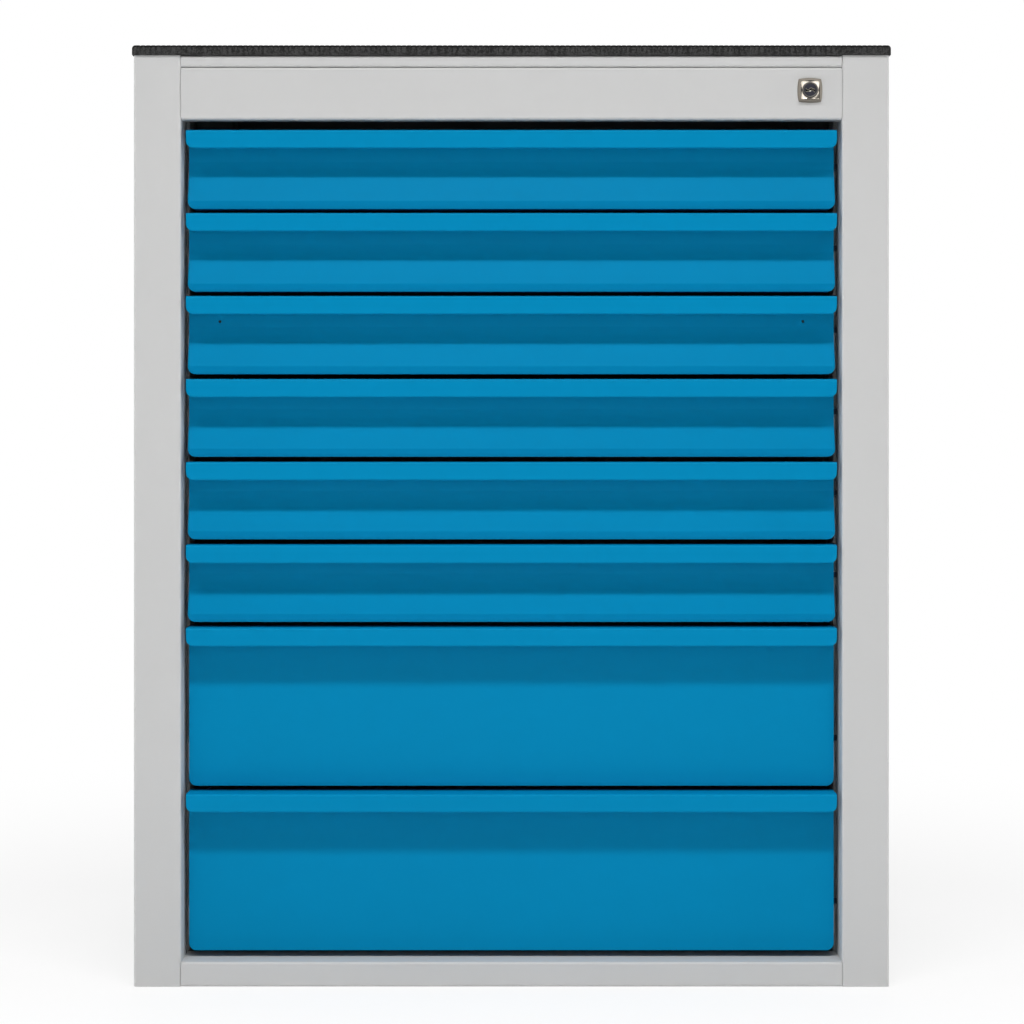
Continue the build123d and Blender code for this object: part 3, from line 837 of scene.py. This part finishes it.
def rivet_heads(places, facing, across, rivets):
    """Domed heads, one at every place.

    Each is a profile turned about its axis: a flat back, an ellipse's arc up to the mouth of the pit
    that the drawn stem leaves, then the pit's wall and its floor.
    """
    up = np.cross(facing, across)
    angle = one_turn(16)
    rise = np.radians([0.0, 22.0, 44.0, 64.0])
    mouth_out, mouth_up = 0.40, 0.86
    floor_out, floor_up = 0.36, 0.25
    out_shares = np.concatenate([[0.0], np.cos(rise), [mouth_out, floor_out, 0.0]])
    up_shares = np.concatenate([[0.0], np.sin(rise), [mouth_up, floor_up, floor_up]])
    radius = rivets.radius * out_shares[:, None]
    height = rivets.height * up_shares[:, None] * np.ones_like(angle)
    head = (radius * np.cos(angle))[..., None] * across + (radius * np.sin(angle))[..., None] * up
    head = head + height[..., None] * facing
    return [(head + place, False, True) for place in places]


# Operators


class CABINET_OT_paint_carcass(bpy.types.Operator):
    """Grey powder coat on the carcass and the trays"""

    bl_idname = "cabinet.paint_carcass"
    bl_label = "Paint the carcass"

    def execute(self, context):
        paint = context.scene.cabinet_paint
        dress("grey_paint", powder_coat("grey_powder_coat", paint.grey, paint.grey_gloss, paint))
        return {"FINISHED"}


class CABINET_OT_paint_fronts(bpy.types.Operator):
    """Blue powder coat on the drawer fronts"""

    bl_idname = "cabinet.paint_fronts"
    bl_label = "Paint the fronts"

    def execute(self, context):
        paint = context.scene.cabinet_paint
        dress("blue_paint", powder_coat("blue_powder_coat", paint.blue, paint.blue_gloss, paint))
        return {"FINISHED"}


class CABINET_OT_plate_steel(bpy.types.Operator):
    """Zinc plate on the runners, the locking bar and the small steel pieces"""

    bl_idname = "cabinet.plate_steel"
    bl_label = "Plate the steel"

    def execute(self, context):
        dress("zinc_steel", zinc_plate(context.scene.cabinet_steel))
        return {"FINISHED"}


class CABINET_OT_ribbed_mat(bpy.types.Operator):
    """Rubber mat with ribs from front to back that run down over its edges"""

    bl_idname = "cabinet.ribbed_mat"
    bl_label = "Lay the ribbed mat"

    def execute(self, context):
        mat = context.scene.cabinet_mat
        points, groove = mat_surface(mat)
        finish = ribbed_rubber(mat)
        make_piece(
            "ribbed_mat", [(points, False, True)], finish, "cabinet", "top_mat",
            {"groove": groove})
        dress("black_rubber", finish)
        return {"FINISHED"}


class CABINET_OT_lock_escutcheon(bpy.types.Operator):
    """Nickel escutcheon with its ridge, dished plate and barrel"""

    bl_idname = "cabinet.lock_escutcheon"
    bl_label = "Fit the escutcheon"

    def execute(self, context):
        lock = context.scene.cabinet_lock
        points, marks = escutcheon_surface(lock)
        finish = bright_nickel(lock.nickel)
        make_piece(
            "lock_escutcheon", [(points, True, True)], finish, "cabinet", "lock_housing",
            marks, sharp=50.0)
        dress("nickel", finish)
        return {"FINISHED"}


class CABINET_OT_lock_plug(bpy.types.Operator):
    """Gunmetal plug with its rim and keyway"""

    bl_idname = "cabinet.lock_plug"
    bl_label = "Fit the plug"

    def execute(self, context):
        lock = context.scene.cabinet_lock
        points, marks = plug_surface(lock)
        finish = dark_gunmetal(lock.gunmetal)
        make_piece(
            "lock_keyed_plug", [(points, False, True)], finish, "lock", "lock_plug",
            marks, sharp=50.0)
        dress("gunmetal", finish)
        return {"FINISHED"}


class CABINET_OT_rivets(bpy.types.Operator):
    """Blind rivets on the rear flanges and on the tray walls over the runners"""

    bl_idname = "cabinet.rivets"
    bl_label = "Set the rivets"

    def execute(self, context):
        rivets = context.scene.cabinet_rivets
        finish = frame["nodes"]["left_outer_rails"].data.materials[0]
        rows = np.linspace(rivets.end_margin, SIDE_HIGH.z - rivets.end_margin, rivets.per_flange)
        flange_x = SIDE_HIGH.x - REAR_FLANGE / 2
        columns = np.repeat([-flange_x, flange_x], rivets.per_flange)
        places = np.stack([columns, np.full(columns.shape, SIDE_HIGH.y), np.tile(rows, 2)], axis=-1)
        heads = rivet_heads(places, BACKWARDS, -SIDEWAYS, rivets)
        make_piece("back_rivets", heads, finish, "cabinet")
        for number in range(1, DRAWER_COUNT + 1):
            tray_low, tray_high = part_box(f"drawer_{number}_tray")
            rail_low, rail_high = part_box(f"drawer_{number}_inner_rails")
            along = rail_low.y + RUNNER_RIVETS * (rail_high.y - rail_low.y)
            wall = np.full(along.shape, tray_high.x - TRAY_SHEET)
            level = np.full(along.shape, (rail_low.z + rail_high.z) / 2)
            heads = rivet_heads(np.stack([wall, along, level], axis=-1), -SIDEWAYS, BACKWARDS, rivets)
            heads += rivet_heads(np.stack([-wall, along, level], axis=-1), SIDEWAYS, -BACKWARDS, rivets)
            make_piece(f"drawer_{number}_tray_rivets", heads, finish, f"drawer_{number}")
        return {"FINISHED"}


class CABINET_OT_studio(bpy.types.Operator):
    """Pale floor, white surroundings, five soft lamps and the camera"""

    bl_idname = "cabinet.studio"
    bl_label = "Set up the studio"

    def floor(self, studio):
        """A disc that looks white, with a matt share near the cabinet that shows its shadow.

        The matt share falls to nothing with the square of the way that is left to the fade's end.
        """
        angle = one_turn(64)
        radius = FLOOR_RINGS[:, None] * np.ones_like(angle)
        level = np.full(radius.shape, -FLOOR_DROP)
        points = np.stack([radius * np.cos(angle), radius * np.sin(angle), level], axis=-1)
        material = bpy.data.materials.new("pale_floor")
        tree = Tree(material)
        way = tree.node("ShaderNodeVectorMath", {"operation": "LENGTH"}, {0: tree.place()}).out("Value")
        near = (1.0 - (way - FADE_START) / FADE_WIDTH).clamped()
        factor = tree.seen() * (1.0 - SHADOW_SHARE * near ** 2.0)
        matt = tree.node("ShaderNodeBsdfDiffuse", None, {"Color": shade(studio.floor)}).out(0)
        white = tree.node("ShaderNodeEmission", None, {"Color": WHITE, "Strength": 1.0}).out(0)
        mixed = tree.node("ShaderNodeMixShader", None, {0: factor, 1: matt, 2: white}).out(0)
        tree.node("ShaderNodeOutputMaterial", None, {"Surface": mixed})
        make_piece("studio_floor", [(points, False, True)], material, None)

    def world(self, studio):
        """Surroundings that look white, and light the cabinet evenly at a strength of their own."""
        world = bpy.data.worlds.new("studio_world")
        tree = Tree(world)
        even = tree.node("ShaderNodeBackground", None, {0: WHITE, 1: studio.ambience}).out(0)
        white = tree.node("ShaderNodeBackground", None, {0: WHITE, 1: 1.0}).out(0)
        mixed = tree.node("ShaderNodeMixShader", None, {0: tree.seen(), 1: even, 2: white}).out(0)
        tree.node("ShaderNodeOutputWorld", None, {"Surface": mixed})
        bpy.context.scene.world = world

    def lamp(self, name, power, size, turn, away, level, tilt):
        """A soft rectangle at a turn round the cabinet in degrees, a way out from it and at a level.

        It faces straight down and tilts from there towards the cabinet, or out from it where negative.
        """
        heading = math.radians(turn)
        data = bpy.data.lights.new(name, "AREA")
        data.shape = "RECTANGLE"
        data.size, data.size_y = size
        data.energy = power
        lamp = bpy.data.objects.new(name, data)
        lamp.location = (away * math.sin(heading), -away * math.cos(heading), level)
        lamp.rotation_euler = (math.radians(tilt), 0.0, heading)
        bpy.context.scene.collection.objects.link(lamp)

    def camera(self, studio):
        """A level camera square to the front, with a lens and a shift that give the frame its place."""
        data = bpy.data.cameras.new("front_camera")
        data.sensor_width = SENSOR_WIDTH
        data.lens = SENSOR_WIDTH * studio.distance / studio.frame_width
        data.shift_y = (studio.frame_middle - studio.eye_height) / studio.frame_width
        camera = bpy.data.objects.new("front_camera", data)
        camera.location = (studio.aside, FRONT_Y - studio.distance, studio.eye_height)
        camera.rotation_euler = (math.radians(90.0), 0.0, 0.0)
        bpy.context.scene.collection.objects.link(camera)
        bpy.context.scene.camera = camera

    def execute(self, context):
        studio = context.scene.cabinet_studio
        context.scene.view_settings.view_transform = "Standard"
        self.floor(studio)
        self.world(studio)
        self.lamp("strip_lamp", studio.key_power, (2.2, 0.46), turn=0.0, away=1.6, level=2.52, tilt=-33.0)
        self.lamp("front_lamp", studio.front_power, (3.4, 1.8), turn=0.0, away=3.9, level=1.0, tilt=86.0)
        for name, turn in {"left_lamp": -84.0, "right_lamp": 84.0}.items():
            self.lamp(name, studio.side_power, (1.6, 2.0), turn, away=3.8, level=1.0, tilt=86.0)
        self.lamp("rear_lamp", studio.rear_power, (3.0, 1.8), turn=180.0, away=3.6, level=1.2, tilt=82.0)
        self.camera(studio)
        return {"FINISHED"}


class CABINET_PT_panel(bpy.types.Panel):
    """Lists the steps that dress the cabinet"""

    bl_idname = "CABINET_PT_panel"
    bl_label = "Drawer cabinet"
    bl_space_type = "VIEW_3D"
    bl_region_type = "UI"
    bl_category = "Cabinet"

    def draw(self, context):
        for step in STEPS:
            self.layout.operator(step.bl_idname)


SETTINGS = {
    "cabinet_paint": CabinetPaint,
    "cabinet_steel": CabinetSteel,
    "cabinet_mat": CabinetMat,
    "cabinet_lock": CabinetLock,
    "cabinet_rivets": CabinetRivets,
    "cabinet_studio": CabinetStudio,
}
STEPS = (
    CABINET_OT_paint_carcass,
    CABINET_OT_paint_fronts,
    CABINET_OT_plate_steel,
    CABINET_OT_ribbed_mat,
    CABINET_OT_lock_escutcheon,
    CABINET_OT_lock_plug,
    CABINET_OT_rivets,
    CABINET_OT_studio,
)


def register():
    for name, group in SETTINGS.items():
        bpy.utils.register_class(group)
        setattr(bpy.types.Scene, name, bpy.props.PointerProperty(type=group))
    for step in STEPS:
        bpy.utils.register_class(step)
    bpy.utils.register_class(CABINET_PT_panel)


def unregister():
    bpy.utils.unregister_class(CABINET_PT_panel)
    for step in reversed(STEPS):
        bpy.utils.unregister_class(step)
    for name, group in reversed(SETTINGS.items()):
        delattr(bpy.types.Scene, name)
        bpy.utils.unregister_class(group)


def main():
    """Registers the add-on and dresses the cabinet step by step."""
    register()
    bpy.ops.cabinet.paint_carcass()
    bpy.ops.cabinet.paint_fronts()
    bpy.ops.cabinet.plate_steel()
    bpy.ops.cabinet.ribbed_mat()
    bpy.ops.cabinet.lock_escutcheon()
    bpy.ops.cabinet.lock_plug()
    bpy.ops.cabinet.rivets()
    bpy.ops.cabinet.studio()


if __name__ == "__main__":
    main()
